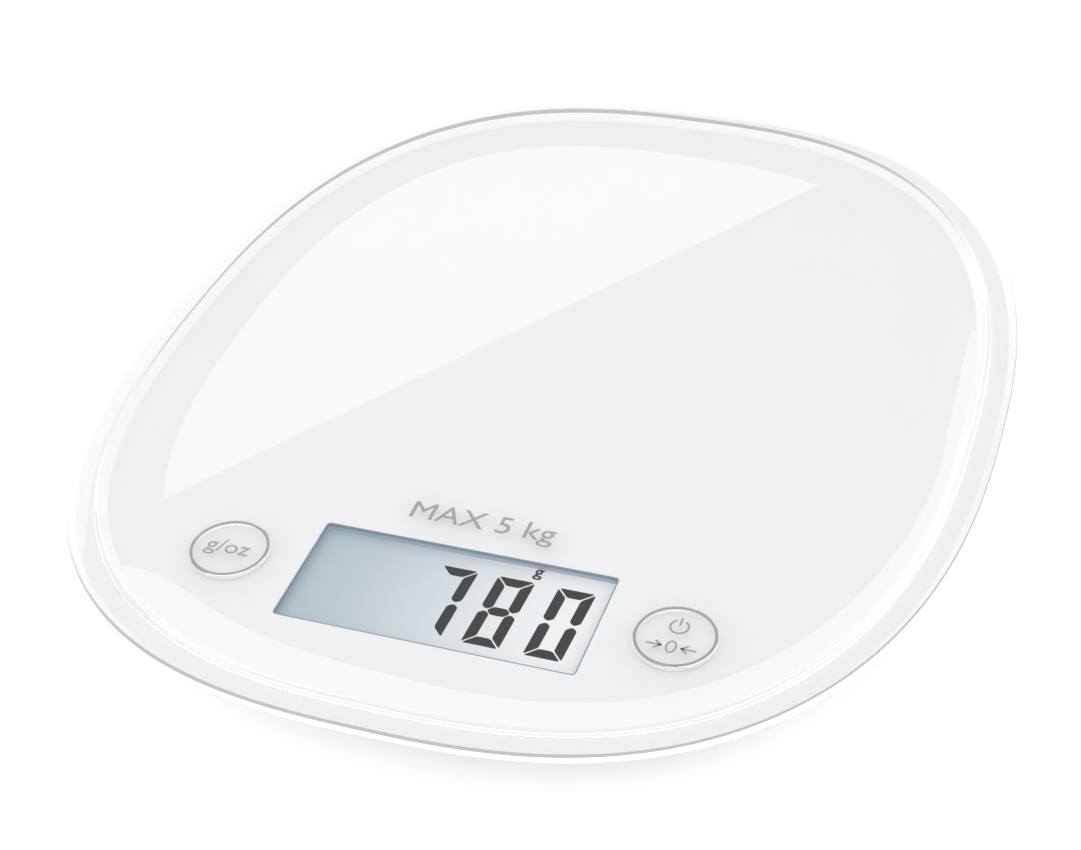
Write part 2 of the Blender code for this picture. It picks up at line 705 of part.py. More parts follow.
def add_wire(name, route, radius, finish):
    """A wire through route, kept as a smooth tube with flat ends."""
    curve = bpy.data.curves.new(name, "CURVE")
    curve.dimensions = "3D"
    curve.bevel_depth = radius * MM
    curve.bevel_resolution = 1
    curve.use_fill_caps = True
    points = smooth_route(route, 3)
    spline = curve.splines.new("POLY")
    spline.points.add(len(points) - 1)
    for target, point in zip(spline.points, points):
        target.co = (*(Vector(point) * MM), 1.0)
    made = bpy.data.objects.new(name, curve)
    bpy.context.collection.objects.link(made)
    curve.materials.append(finish)


def smooth_route(route, steps):
    """Points along a Catmull-Rom curve through the route's own points."""
    knots = [Vector(point) for point in route]
    knots = [2 * knots[0] - knots[1]] + knots + [2 * knots[-1] - knots[-2]]
    points = []
    for a, b, c, d in zip(knots, knots[1:], knots[2:], knots[3:]):
        for i in range(steps):
            t = i / steps
            bend = (2 * a - 5 * b + 4 * c - d) * t * t + (3 * b - a - 3 * c + d) * t * t * t
            points.append((2 * b + (c - a) * t + bend) / 2)
    points.append(knots[-2])
    return points


def make_wires(finishes):
    """Wires from each sensor bar and from the battery's contacts to the board."""
    front = [
        (50.5, -30, 11.2),
        (47.2, -36, 10.8),
        (46.6, -44, 10.2),
        (46.6, -50, 10.0),
        (46.6, -54, 9.9),
    ]
    rear = [
        (41.4, 44, 11.2),
        (38.4, 39, 10.6),
        (37.8, 28, 9.0),
        (38.0, -10, 7.4),
        (37.8, -36, 8.4),
        (37.6, -48, 10.0),
        (37.6, -53, 9.9),
    ]
    battery = [(5, -32.2, 7.4), (5, -36, 6.6), (6, -42, 6.1), (6, -48, 6.1), (6, -54, 6.1)]
    for side, name in ((-1, "left"), (1, "right")):
        for place, route in (("front", front), ("rear", rear)):
            points = [(side * x, y, z) for x, y, z in route]
            add_wire(f"sensor_wire_{place}_{name}", points, 0.8, finishes["grey_insulation"])
    for side, name in ((-1, "black"), (1, "red")):
        points = [(side * x, y, z) for x, y, z in battery]
        add_wire("battery_wire_" + name, points, 0.6, finishes[name + "_insulation"])


# ----------------------------------------------------------------------- run


def main():
    for old in list(bpy.data.objects):
        bpy.data.objects.remove(old)
    finishes = make_materials()
    make_tray(finishes["clear_plastic"])
    make_deck(finishes["white_plastic"])
    make_pan(finishes["white_plastic"])
    make_battery_door(finishes["white_plastic"])
    make_label(finishes["label_film"])
    make_display(finishes)
    make_board(finishes["circuit_board"])
    make_controller(finishes["epoxy"])
    make_key("unit", -KEY_X, finishes)
    make_key("tare", KEY_X, finishes)
    make_battery(finishes)
    for name, x, y, way in CORNERS:
        make_corner(name, x, y, way, finishes)
    make_fixings(finishes)
    make_wires(finishes)


main()
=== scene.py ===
"""Looks of a digital kitchen scale: a clear moulded tray over a white body.

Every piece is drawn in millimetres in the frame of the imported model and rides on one
of its bodies. Shells follow the same outline and section as the solids they stand
for, drawn finer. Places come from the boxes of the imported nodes.
"""

import json
import math

import bmesh
import bpy
from mathutils import Matrix, Vector


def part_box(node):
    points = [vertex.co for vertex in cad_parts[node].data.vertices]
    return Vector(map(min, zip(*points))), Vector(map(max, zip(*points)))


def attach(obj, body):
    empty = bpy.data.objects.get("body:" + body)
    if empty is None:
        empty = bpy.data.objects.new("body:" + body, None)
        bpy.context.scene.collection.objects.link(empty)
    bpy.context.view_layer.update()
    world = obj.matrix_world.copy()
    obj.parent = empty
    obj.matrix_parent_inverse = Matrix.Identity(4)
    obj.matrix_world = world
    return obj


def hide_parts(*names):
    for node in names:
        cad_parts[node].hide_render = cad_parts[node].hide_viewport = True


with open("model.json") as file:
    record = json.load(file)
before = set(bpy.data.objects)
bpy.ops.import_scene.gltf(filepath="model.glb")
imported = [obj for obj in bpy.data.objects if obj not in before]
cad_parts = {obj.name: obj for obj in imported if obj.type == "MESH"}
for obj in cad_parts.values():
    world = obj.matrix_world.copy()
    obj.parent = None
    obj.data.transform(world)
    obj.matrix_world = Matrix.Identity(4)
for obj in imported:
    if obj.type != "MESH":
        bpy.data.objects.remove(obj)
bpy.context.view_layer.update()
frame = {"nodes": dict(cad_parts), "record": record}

MM = 0.001

# Plan outline, the same superellipse as the solids
SIDE_POWER = 2.6
END_POWER = 2.45
FRONT_SPREAD = 0.027
OUTLINE_STEPS = 288

# Thicknesses of the shells and the gap between pieces
TRAY_THICKNESS = 2.0
DECK_THICKNESS = 1.2
PAN_THICKNESS = 1.8
DOOR_THICKNESS = 1.5
GAP = 0.3

# Section of the tray, as distances in from the outline
RIM_WIDTH = 6.7
WALL_FOOT_INSET = 8.7
PLATFORM_INSET = 19.0
SKIRT_SLOPE = 0.35
SKIRT_CURVE = 0.9
SKIRT_POWER = 1.6
SEAT_INSET = 0.4  # a level strip that keeps a flat face next to a curved one flat

# Underside
CORNERS = ("front_left", "front_right", "rear_left", "rear_right")
DOOR_HALF_WIDTH = 14.5
PIN_RADIUS = 0.4
TUB_TOP_Z = 10.2
TUB_WALL = 1.8
POCKET_HALF = 12.0
CLAMP_HALF = (6.0, 4.5)
POST_RADIUS = 3.8
SCREW_HOLE_RADIUS = 1.5
SCREW_HEAD_HEIGHT = 1.4
THREAD_PITCH = 0.6
THREAD_ROOT = 0.78  # as a share of the shank's radius
BAR_ENDS = (-6.0, 8.0, 10.0, 18.0, 20.0, 28.0)  # along the bar from the foot
BAR_WAIST = 3.6
GAUGE_REACH = 14.0  # from the foot to the middle of the strain gauge
SHARP_ANGLE = math.radians(30)

# Display, keys and prints
WINDOW_SIZE = (61.3, 27.4)
WINDOW_CORNER = 0.9
INK_THICKNESS = 0.02
KEY_GAP = 0.1
RING_RADIUS = 7.65
RING_LINE = 0.6
DIGIT_WIDTH = 7.6
DIGIT_HEIGHT = 19.1
DIGIT_STROKE = 2.25
DIGIT_GAP = 0.22
DIGIT_LEAN = 0.04  # across per millimetre up
DIGIT_LEFTS = (-4.9, 6.8, 19.2)
DIGIT_MIDDLE_Y = -0.1  # from the display's middle to the digits' middle


def box_mm(node):
    low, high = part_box(node)
    return low / MM, high / MM


def middle_mm(node):
    low, high = box_mm(node)
    return (low + high) / 2


TRAY_LOW, TRAY_HIGH = box_mm("platform_tray")
TOP_Z = TRAY_HIGH.z
PLATFORM_Z = box_mm("tare_key_cap")[1].z
DECK_TOP_Z = PLATFORM_Z - TRAY_THICKNESS - GAP
DISPLAY = middle_mm("lcd_glass")
LCD_TOP_Z = box_mm("lcd_glass")[1].z
PAN_LOW, PAN_HIGH = box_mm("base_pan")


# ---------------------------------------------------------------- materials


def linear(code, alpha=1.0):
    """An sRGB hex colour as linear red, green, blue and alpha."""
    shares = [int(code[i : i + 2], 16) / 255 for i in (1, 3, 5)]
    return (*[s / 12.92 if s <= 0.04045 else ((s + 0.055) / 1.055) ** 2.4 for s in shares], alpha)


def add_node(tree, kind, inputs=None, **settings):
    """Adds a node. Each input is a value, or another node's output to link."""
    made = tree.nodes.new(kind)
    for name, value in settings.items():
        setattr(made, name, value)
    for key, value in (inputs or {}).items():
        if isinstance(value, bpy.types.NodeSocket):
            tree.links.new(value, made.inputs[key])
        else:
            made.inputs[key].default_value = value
    return made


def finish(name, colours, patch, grain, rough, depth, stretch=(1.0, 1.0, 1.0), also=None):
    """A finish from two patterns: broad patches of tone, and a grain that dulls and lifts.

    Patch and grain sizes, and the grain's depth, are in millimetres. The place, body and
    surface nodes keep those names, so that a finish with more to it can build on them.
    """
    made = bpy.data.materials.new(name)
    made.use_nodes = True
    tree = made.node_tree
    tree.nodes.clear()
    lay = add_node(tree, "ShaderNodeTexCoord")
    per_mm = [share / MM for share in stretch]
    inputs = {0: lay.outputs["Object"], 1: per_mm}
    place = add_node(tree, "ShaderNodeVectorMath", inputs, operation="MULTIPLY", name="place")
    inputs = {"Vector": place.outputs[0], "Scale": 1 / patch, "Detail": 2.0}
    broad = add_node(tree, "ShaderNodeTexNoise", inputs)
    inputs = {"Vector": place.outputs[0], "Scale": 1 / grain, "Detail": 2.0}
    fine = add_node(tree, "ShaderNodeTexNoise", inputs, name="grain")
    inputs = {0: broad.outputs["Fac"], 6: linear(colours[0]), 7: linear(colours[1])}
    tone = add_node(tree, "ShaderNodeMix", inputs, data_type="RGBA")
    inputs = {"Value": fine.outputs["Fac"], "To Min": rough[0], "To Max": rough[1]}
    dull = add_node(tree, "ShaderNodeMapRange", inputs)
    inputs = {"Height": fine.outputs["Fac"], "Distance": depth * MM, "Strength": 1.0}
    relief = add_node(tree, "ShaderNodeBump", inputs, name="relief")
    inputs = {"Base Color": tone.outputs[2], "Roughness": dull.outputs[0]}
    inputs["Normal"] = relief.outputs[0]
    inputs.update(also or {})
    body = add_node(tree, "ShaderNodeBsdfPrincipled", inputs, name="body")
    add_node(tree, "ShaderNodeOutputMaterial", {"Surface": body.outputs[0]}, name="surface")
    return made


def clear_styrene_polished():
    """Clear styrene from a polished mould: water-clear, with sharp reflections."""
    plain = {"IOR": 1.55, "Transmission Weight": 1.0}
    colours = ("#fdfdfd", "#fbfbfb")
    made = finish("clear_styrene_polished", colours, 30.0, 12.0, (0.008, 0.014), 0.0005, also=plain)
    tree = made.node_tree
    # Lamp light, and light that has bounced, go straight through. So the deck under the
    # tray is lit, and no light stays caught in the edges.
    ray = add_node(tree, "ShaderNodeLightPath")
    inputs = {0: ray.outputs["Is Shadow Ray"], 1: ray.outputs["Is Reflection Ray"]}
    passing = add_node(tree, "ShaderNodeMath", inputs, operation="MAXIMUM")
    open_way = add_node(tree, "ShaderNodeBsdfTransparent", {"Color": linear("#fcfcfc")})
    inputs = {0: passing.outputs[0], 1: tree.nodes["body"].outputs[0], 2: open_way.outputs[0]}
    shown = add_node(tree, "ShaderNodeMixShader", inputs)
    tree.links.new(shown.outputs[0], tree.nodes["surface"].inputs["Surface"])
    return made


def white_abs_polished():
    """White ABS from a polished mould: an even white with a soft gloss."""
    plain = {"IOR": 1.53}
    return finish("white_abs_polished", DECK_WHITES, 25.0, 8.0, (0.4, 0.46), 0.001, also=plain)


def white_abs_spark_textured():
    """White ABS from a spark-eroded mould: a fine even grain that looks satin."""
    # Real spark grain is about 0.1 mm, drawn at 0.35 mm so that it shows.
    colours = ("#e6e6e5", "#ebebea")
    return finish("white_abs_spark_textured", colours, 18.0, 0.35, (0.42, 0.58), 0.02, also={"IOR": 1.53})


def grey_ink_screen_printed():
    """Grey ink printed through a screen: flat, a little uneven, half matt."""
    # The mesh of the screen leaves specks about 0.15 mm across.
    return finish("grey_ink_screen_printed", ("#949494", "#9e9e9e"), 3.0, 0.15, (0.4, 0.55), 0.002)


def polariser_film_painted_reflection():
    """Polariser film over a liquid crystal cell: blue-grey, with a painted reflection that makes it paler
    to the right.
    """
    plain = {"IOR": 1.5, "Coat Weight": 0.6, "Coat Roughness": 0.08}
    made = finish("polariser_film_painted_reflection", LCD_TONES_AND_PAINTED_REFLECTION, 9.0, 0.5, (0.3, 0.42), 0.001, also=plain)
    tree = made.node_tree
    # Painted reflection: the colour runs from the film's blue-grey on the left to near white on the right,
    # in place of the room mirrored in the film.
    split = add_node(tree, "ShaderNodeSeparateXYZ", {0: tree.nodes["place"].outputs[0]})
    half = WINDOW_SIZE[0] / 2
    inputs = {"Value": split.outputs["X"], "From Min": -half, "From Max": half}
    across = add_node(tree, "ShaderNodeMapRange", inputs, interpolation_type="SMOOTHSTEP")
    inputs = {0: across.outputs[0], 6: linear(LCD_TONES_AND_PAINTED_REFLECTION[0]), 7: linear(LCD_TONES_AND_PAINTED_REFLECTION[1])}
    tone = add_node(tree, "ShaderNodeMix", inputs, data_type="RGBA")
    tree.links.new(tone.outputs[2], tree.nodes["body"].inputs["Base Color"])
    return made


def liquid_crystal_etched():
    """A switched-on liquid crystal segment: blue-black and even."""
    # It lies against the cell's glass, so its own surface hardly reflects.
    plain = {"Specular IOR Level": 0.05}
    return finish("liquid_crystal_etched", ("#0b0b0e", "#101014"), 4.0, 0.4, (0.6, 0.7), 0.001, also=plain)


def foam_seal_painted_shade():
    """Foam strip that keeps dust off the display. Its blue-grey, and the dark band at its top edge, are
    painted shade on the window's walls.
    """
    # Foam cells are about 0.1 mm, drawn at 0.2 mm so that they show.
    # Both blue-greys are painted shade. The darker one fills the strip's top 0.6 mm, under the deck's
    # edge.
    colours = ("#a9bac5", "#7d92a0")
    made = finish("foam_seal_painted_shade", colours, 5.0, 0.2, (0.6, 0.8), 0.01)
    tree = made.node_tree
    split = add_node(tree, "ShaderNodeSeparateXYZ", {0: tree.nodes["place"].outputs[0]})
    inputs = {"Value": split.outputs["Z"], "From Min": DECK_TOP_Z - 0.75, "From Max": DECK_TOP_Z - 0.6}
    level = add_node(tree, "ShaderNodeMapRange", inputs)
    inputs = {0: level.outputs[0], 6: linear(colours[0]), 7: linear(colours[1])}
    tone = add_node(tree, "ShaderNodeMix", inputs, data_type="RGBA")
    tree.links.new(tone.outputs[2], tree.nodes["body"].inputs["Base Color"])
    return made


def green_solder_mask_screen_coated():
    """Green solder mask over copper: tracks stand up and show paler through it."""
    colours = ("#1c5a32", "#2f7a45")
    plain = {"Coat Weight": 0.3}
    made = finish("green_solder_mask_screen_coated", colours, 6.0, 0.8, (0.28, 0.42), 0.01, also=plain)
    tree = made.node_tree
    inputs = {"Vector": tree.nodes["place"].outputs[0], "Rotation": (0.0, 0.0, math.radians(45))}
    turned_place = add_node(tree, "ShaderNodeMapping", inputs)
    # Tracks are about 0.5 mm wide on a 1.6 mm pitch.
    inputs = {"Vector": turned_place.outputs[0], "Scale": 1 / 1.6, "Mortar Size": 0.16, "Brick Width": 6.0}
    tracks = add_node(tree, "ShaderNodeTexBrick", inputs, offset=0.35, squash=0.7)
    inputs = {0: tracks.outputs["Fac"], 6: linear(colours[0]), 7: linear(colours[1])}
    tone = add_node(tree, "ShaderNodeMix", inputs, data_type="RGBA")
    inputs = {"Height": tracks.outputs["Fac"], "Distance": 0.035 * MM}
    inputs["Normal"] = tree.nodes["relief"].outputs[0]
    raised = add_node(tree, "ShaderNodeBump", inputs)
    tree.links.new(tone.outputs[2], tree.nodes["body"].inputs["Base Color"])
    tree.links.new(raised.outputs[0], tree.nodes["body"].inputs["Normal"])
    return made


def moulded_rubber(name, *colours):
    """Compression-moulded silicone rubber: matt, with a faint bloom."""
    return finish(name, colours, 3.0, 0.25, (0.62, 0.8), 0.015, also={"IOR": 1.41})


def moulded_plastic(name, *colours, rough=0.45):
    """Plain injection-moulded plastic with a fine satin grain."""
    return finish(name, colours, 5.0, 0.3, (rough - 0.08, rough + 0.08), 0.008)


def rolled_metal(name, colours, rough, line, stretch):
    """Rolled or milled metal: fine parallel lines that draw out the highlights."""
    spread = (rough - 0.07, rough + 0.09)
    return finish(name, colours, line * 4, line, spread, 0.004, stretch, {"Metallic": 1.0})


def silver_polyester_brushed():
    """Silver polyester film: a fine brushed look under a matt varnish."""
    stretch = (0.05, 1.0, 1.0)
    plain = {"Metallic": 0.5}
    colours = ("#b4b7ba", "#c9cccf")
    return finish("silver_polyester_brushed", colours, 2.0, 0.3, (0.34, 0.46), 0.002, stretch, plain)


def white_acrylic_cast_matt():
    """Matt opal acrylic, cast and lit faintly from below, so that shadows on it stay pale."""
    plain = {"Specular IOR Level": 0.1, "Emission Color": (1.0, 1.0, 1.0, 1.0), "Emission Strength": 0.12}
    colours = ("#fbfbfb", "#fdfdfd")
    return finish("white_acrylic_cast_matt", colours, 9.0, 1.2, (0.85, 0.95), 0.01, also=plain)


DECK_WHITES = ("#f3f3f3", "#f5f5f5")
# The film's own blue-grey, and the near white of the painted reflection at its right end.
LCD_TONES_AND_PAINTED_REFLECTION = ("#b3c5cf", "#f8fafc")
CLEAR = clear_styrene_polished()
WHITE = white_abs_polished()
WHITE_SATIN = white_abs_spark_textured()
INK = grey_ink_screen_printed()
LCD_FILM_PAINTED_REFLECTION = polariser_film_painted_reflection()
LCD_DARK = liquid_crystal_etched()
FOAM_PAINTED_SHADE = foam_seal_painted_shade()
GREY_RUBBER = moulded_rubber("grey_silicone_moulded", "#6c6d6f", "#7b7c7e")
BLACK_RUBBER = moulded_rubber("black_silicone_conductive", "#161617", "#222223")
STEEL = rolled_metal("steel_zinc_plated", ("#9a9ea3", "#b6bac0"), 0.26, 0.2, (1.0, 1.0, 0.2))
CELL_STEEL = rolled_metal("stainless_steel_stamped", ("#a5a5a3", "#bdbdbb"), 0.22, 0.3, (1.0, 0.08, 1.0))
NICKEL = rolled_metal("nickel_strip_rolled", ("#b3ada0", "#c9c4b8"), 0.2, 0.25, (0.1, 1.0, 1.0))
ALUMINIUM = rolled_metal("aluminium_milled", ("#b2b5b8", "#c9ccd0"), 0.33, 0.35, (1.0, 0.06, 1.0))
GAUGE_FILM = moulded_plastic("amber_polyimide_laminated", "#9a6a28", "#b07f38", rough=0.35)


# ------------------------------------------------------------ mesh building


def put(name, shape, finish, body, replaced=()):
    """Puts a shape drawn in millimetres on a body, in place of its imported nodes."""
    bmesh.ops.scale(shape, verts=shape.verts, vec=(MM, MM, MM))
    bmesh.ops.recalc_face_normals(shape, faces=shape.faces)
    mesh = bpy.data.meshes.new(name)
    shape.to_mesh(mesh)
    shape.free()
    mesh.materials.append(finish)
    mesh.set_sharp_from_angle(angle=SHARP_ANGLE)
    made = bpy.data.objects.new(name, mesh)
    bpy.context.scene.collection.objects.link(made)
    if body:
        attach(made, body)
    if replaced:
        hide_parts(*replaced)
    return made


def combine(target, shape, operation):
    """Adds or cuts a shape for good."""
    tool = put("tool", shape, target.data.materials[0], None)
    change = target.modifiers.new(operation, "BOOLEAN")
    change.operation = operation
    change.solver = "EXACT"
    change.object = tool
    held = bpy.context.evaluated_depsgraph_get()
    result = bpy.data.meshes.new_from_object(target.evaluated_get(held))
    target.modifiers.remove(change)
    target.data = result
    result.set_sharp_from_angle(angle=SHARP_ANGLE)
    bpy.data.objects.remove(tool)


def join_rings(shape, rings, capped=True):
    """Smooth faces between neighbouring rings, and flat caps at both ends."""
    count = len(rings[0])
    for upper, lower in zip(rings, rings[1:]):
        for i in range(count):
            j = (i + 1) % count
            face = shape.faces.new((upper[i], lower[i], lower[j], upper[j]))
            face.smooth = True
    if capped:
        shape.faces.new(rings[0])
        shape.faces.new(rings[-1])


def fillet(corners, angle_step=15):
    """Rounds the corners of an open path of (across, height, radius)."""
    path = [corners[0][:2]]
    for before, corner, after in zip(corners, corners[1:], corners[2:]):
        here = Vector(corner[:2])
        radius = corner[2]
        back = (Vector(before[:2]) - here).normalized()
        ahead = (Vector(after[:2]) - here).normalized()
        turn = math.pi - back.angle(ahead)
        if radius <= 0 or turn < math.radians(2):
            path.append(tuple(here))
            continue
        reach = radius * math.tan(turn / 2)
        first, last = here + back * reach, here + ahead * reach
        centre = here + (back + ahead).normalized() * (radius / math.cos(turn / 2))
        spoke, end = first - centre, last - centre
        swing = math.remainder(math.atan2(end.y, end.x) - math.atan2(spoke.y, spoke.x), math.tau)
        steps = max(2, math.ceil(math.degrees(turn) / angle_step))
        for i in range(steps + 1):
            path.append(tuple(centre + Matrix.Rotation(swing * i / steps, 2) @ spoke))
    path.append(corners[-1][:2])
    return path


def signed_power(value, power):
    return math.copysign(abs(value) ** power, value)


def outline(count):
    """Evenly spaced points round the outline, each with its outward direction."""
    fine = 6000
    raw = []
    for i in range(fine + 1):
        turn = math.tau * i / fine
        along = signed_power(math.cos(turn), 2 / END_POWER)
        across = signed_power(math.sin(turn), 2 / SIDE_POWER)
        raw.append(Vector(((1 - FRONT_SPREAD * along) * across, along)))
    widest = max(point.x for point in raw)
    path = [Vector((point.x / widest * TRAY_HIGH.x, point.y * TRAY_HIGH.y)) for point in raw]
    run = [0.0]
    for a, b in zip(path, path[1:]):
        run.append(run[-1] + (b - a).length)
    points = []
    k = 0
    for i in range(count):
        want = run[-1] * i / count
        while run[k + 1] < want:
            k += 1
        share = (want - run[k]) / (run[k + 1] - run[k])
        points.append(path[k].lerp(path[k + 1], share))
    made = []
    for i, point in enumerate(points):
        along = points[(i + 1) % count] - points[i - 1]
        made.append((point, Vector((-along.y, along.x)).normalized()))
    return made


BORDER = outline(OUTLINE_STEPS)


def loft(section):
    """A closed solid whose rings follow the outline, from (inset, height) steps."""
    shape = bmesh.new()
    rings = []
    for inset, z in section:
        rings.append([shape.verts.new((*(point - outward * inset), z)) for point, outward in BORDER])
    join_rings(shape, rings)
    return shape


def turns(count):
    return [math.tau * i / count for i in range(count)]


def circle(shape, x, y, radius, z, sides):
    """The points of a level circle."""
    made = []
    for turn in turns(sides):
        made.append(shape.verts.new((x + radius * math.cos(turn), y + radius * math.sin(turn), z)))
    return made


def turned(shape, x, y, steps, sides=64):
    """A solid turned about an upright line, from (radius, height) steps.

    A narrow level ring inside each end keeps the end faces flat.
    """
    ends = [(radius * 0.97, z) for radius, z in (steps[0], steps[-1])]
    path = [ends[0], *steps, ends[1]]
    join_rings(shape, [circle(shape, x, y, radius, z, sides) for radius, z in path])


def tube(shape, x, y, inner, outer, low, high, sides=128):
    """A flat ring with square edges."""
    path = ((outer, high), (outer, low), (inner, low), (inner, high), (outer, high))
    rings = [circle(shape, x, y, radius, z, sides) for radius, z in path]
    join_rings(shape, rings, capped=False)
    bmesh.ops.remove_doubles(shape, verts=shape.verts, dist=1e-5)


def plate(shape, corners, low, high):
    """An upright prism over a plan outline."""
    top = [shape.verts.new((x, y, high)) for x, y in corners]
    bottom = [shape.verts.new((x, y, low)) for x, y in corners]
    join_rings(shape, [top, bottom])


def rounded_rectangle(half_x, half_y, centre, radius, steps=8):
    corners = []
    for quarter, (sx, sy) in enumerate(((1, 1), (-1, 1), (-1, -1), (1, -1))):
        for i in range(steps + 1):
            turn = math.radians(90) * (quarter + i / steps)
            x = sx * (half_x - radius) + radius * math.cos(turn)
            y = sy * (half_y - radius) + radius * math.sin(turn)
            corners.append((centre.x + x, centre.y + y))
    return corners


def skirt(count, drop):
    """(inset, height) steps down the skirt to the platform, lowered by drop."""
    steps = []
    for i in range(count + 1):
        left = 1 - i / count
        height = SKIRT_SLOPE * left + SKIRT_CURVE * left**SKIRT_POWER
        inset = PLATFORM_INSET - (PLATFORM_INSET - WALL_FOOT_INSET) * left
        steps.append((inset, PLATFORM_Z + height - drop))
    steps.append((PLATFORM_INSET + SEAT_INSET, PLATFORM_Z - drop))
    return steps


def flared_hole(shape, x, y, radius, low, high, chamfer=0.15):
    """A cutter for a round hole whose top edge is chamfered."""
    steps = [(radius + chamfer + 1.0, high + 1.0), (radius + chamfer, high)]
    steps += [(radius, high - chamfer), (radius, low - 1.0)]
    turned(shape, x, y, steps, 96)


# ------------------------------------------------------------- outer pieces


def build_tray():
    """Clear tray: round edge, flat rim, steep wall, sloping skirt, flat platform."""
    shelf_z = TOP_Z - TRAY_THICKNESS
    edge = [
        (*skirt(12, 0.0)[0], 0),
        (8.27, PLATFORM_Z + 1.32, 1.0),
        (RIM_WIDTH, TOP_Z, 0.6),
        (0.0, TOP_Z, 1.0),
        (0.0, shelf_z, 0.6),
        (5.6, shelf_z, 0.8),
        (7.2, shelf_z - TRAY_THICKNESS, 0.6),
        (*skirt(12, TRAY_THICKNESS)[0], 0),
    ]
    section = skirt(12, 0.0)[::-1] + fillet(edge)[1:-1] + skirt(12, TRAY_THICKNESS)
    tray = put("tray_shell", loft(section), CLEAR, "housing", ["platform_tray"])
    holes = bmesh.new()
    for name in ("unit", "tare"):
        middle = middle_mm(name + "_key_cap")
        radius = box_mm(name + "_key_cap")[1].x - middle.x + KEY_GAP
        flared_hole(holes, middle.x, middle.y, radius, PLATFORM_Z - TRAY_THICKNESS, PLATFORM_Z, 0.06)
    combine(tray, holes, "DIFFERENCE")


def build_deck():
    """White deck under the tray, with the display window, key holes and screw posts."""
    shelf_z = TOP_Z - TRAY_THICKNESS - GAP
    upper = skirt(12, TRAY_THICKNESS + GAP)
    lower = skirt(12, TRAY_THICKNESS + GAP + DECK_THICKNESS)
    edge = [
        (*upper[0], 0),
        (7.05, shelf_z - TRAY_THICKNESS, 0.6),
        (5.35, shelf_z, 0.6),
        (1.9, shelf_z, 0.3),
        (1.9, shelf_z - 1.0, 0.3),
        (4.9, shelf_z - 1.0, 0.5),
        (6.5, shelf_z - 3.1, 0.5),
        (*lower[0], 0),
    ]
    section = upper[::-1] + fillet(edge)[1:-1] + lower
    deck = put("deck_skin", loft(section), WHITE, "housing", ["deck_panel"])
    under_z = DECK_TOP_Z - DECK_THICKNESS

    posts = bmesh.new()
    for i in range(6):
        spot = middle_mm(f"housing_screw_{i + 1}")
        turned(posts, spot.x, spot.y, [(3.0, under_z + 0.6), (3.0, 8.8), (2.7, 8.5)], 32)
    board_top = box_mm("main_board")[1].z + GAP
    for i in range(2):
        spot = middle_mm(f"board_screw_{i + 1}")
        turned(posts, spot.x, spot.y, [(2.6, under_z + 0.6), (2.6, board_top)], 32)
    combine(deck, posts, "UNION")

    cuts = bmesh.new()
    window = rounded_rectangle(WINDOW_SIZE[0] / 2, WINDOW_SIZE[1] / 2, DISPLAY, WINDOW_CORNER)
    plate(cuts, window, under_z - 1.0, DECK_TOP_Z + 1.0)
    for name in ("unit", "tare"):
        spot = middle_mm(name + "_key_cap")
        flared_hole(cuts, spot.x, spot.y, 7.9, under_z, DECK_TOP_Z, 0.06)
    for i in range(6):
        spot = middle_mm(f"housing_screw_{i + 1}")
        turned(cuts, spot.x, spot.y, [(1.4, under_z - 0.6), (1.4, 7.5)], 24)
    for i in range(2):
        spot = middle_mm(f"board_screw_{i + 1}")
        turned(cuts, spot.x, spot.y, [(1.3, under_z - 0.6), (1.3, 7.5)], 24)
    combine(deck, cuts, "DIFFERENCE")


# --------------------------------------------------------- keys and display


def build_key(name):
    """Clear cap with its printed ring, over a white plunger."""
    body = name + "_key"
    low, high = box_mm(name + "_key_cap")
    spot = (low + high) / 2
    radius = high.x - spot.x
    cap = bmesh.new()
    profile = [(0.0, high.z, 0), (radius, high.z, 0.08), (radius, low.z, 0.08), (0.0, low.z, 0)]
    turned(cap, spot.x, spot.y, fillet(profile, 30)[1:-1], 128)
    put(name + "_cap_shell", cap, CLEAR, body, [name + "_key_cap"])

    ring = bmesh.new()
    base = high.z + 0.005
    half = RING_LINE / 2
    tube(ring, spot.x, spot.y, RING_RADIUS - half, RING_RADIUS + half, base, base + INK_THICKNESS)
    put(name + "_printed_ring", ring, INK, body)

    low, high = box_mm(name + "_key_plunger")
    disc, flange = 7.9 - KEY_GAP, high.x - spot.x
    profile = [
        (0.0, high.z, 0),
        (disc, high.z, 0.08),
        (disc, DECK_TOP_Z - DECK_THICKNESS - GAP, 0.2),
        (flange, DECK_TOP_Z - DECK_THICKNESS - GAP, 0.2),
        (flange, low.z + 0.7, 0.2),
        (2.2, low.z + 0.7, 0.3),
        (2.2, low.z, 0.2),
        (0.0, low.z, 0),
    ]
    plunger = bmesh.new()
    turned(plunger, spot.x, spot.y, fillet(profile, 30)[1:-1], 96)
    put(name + "_plunger_skin", plunger, WHITE, body, [name + "_key_plunger"])


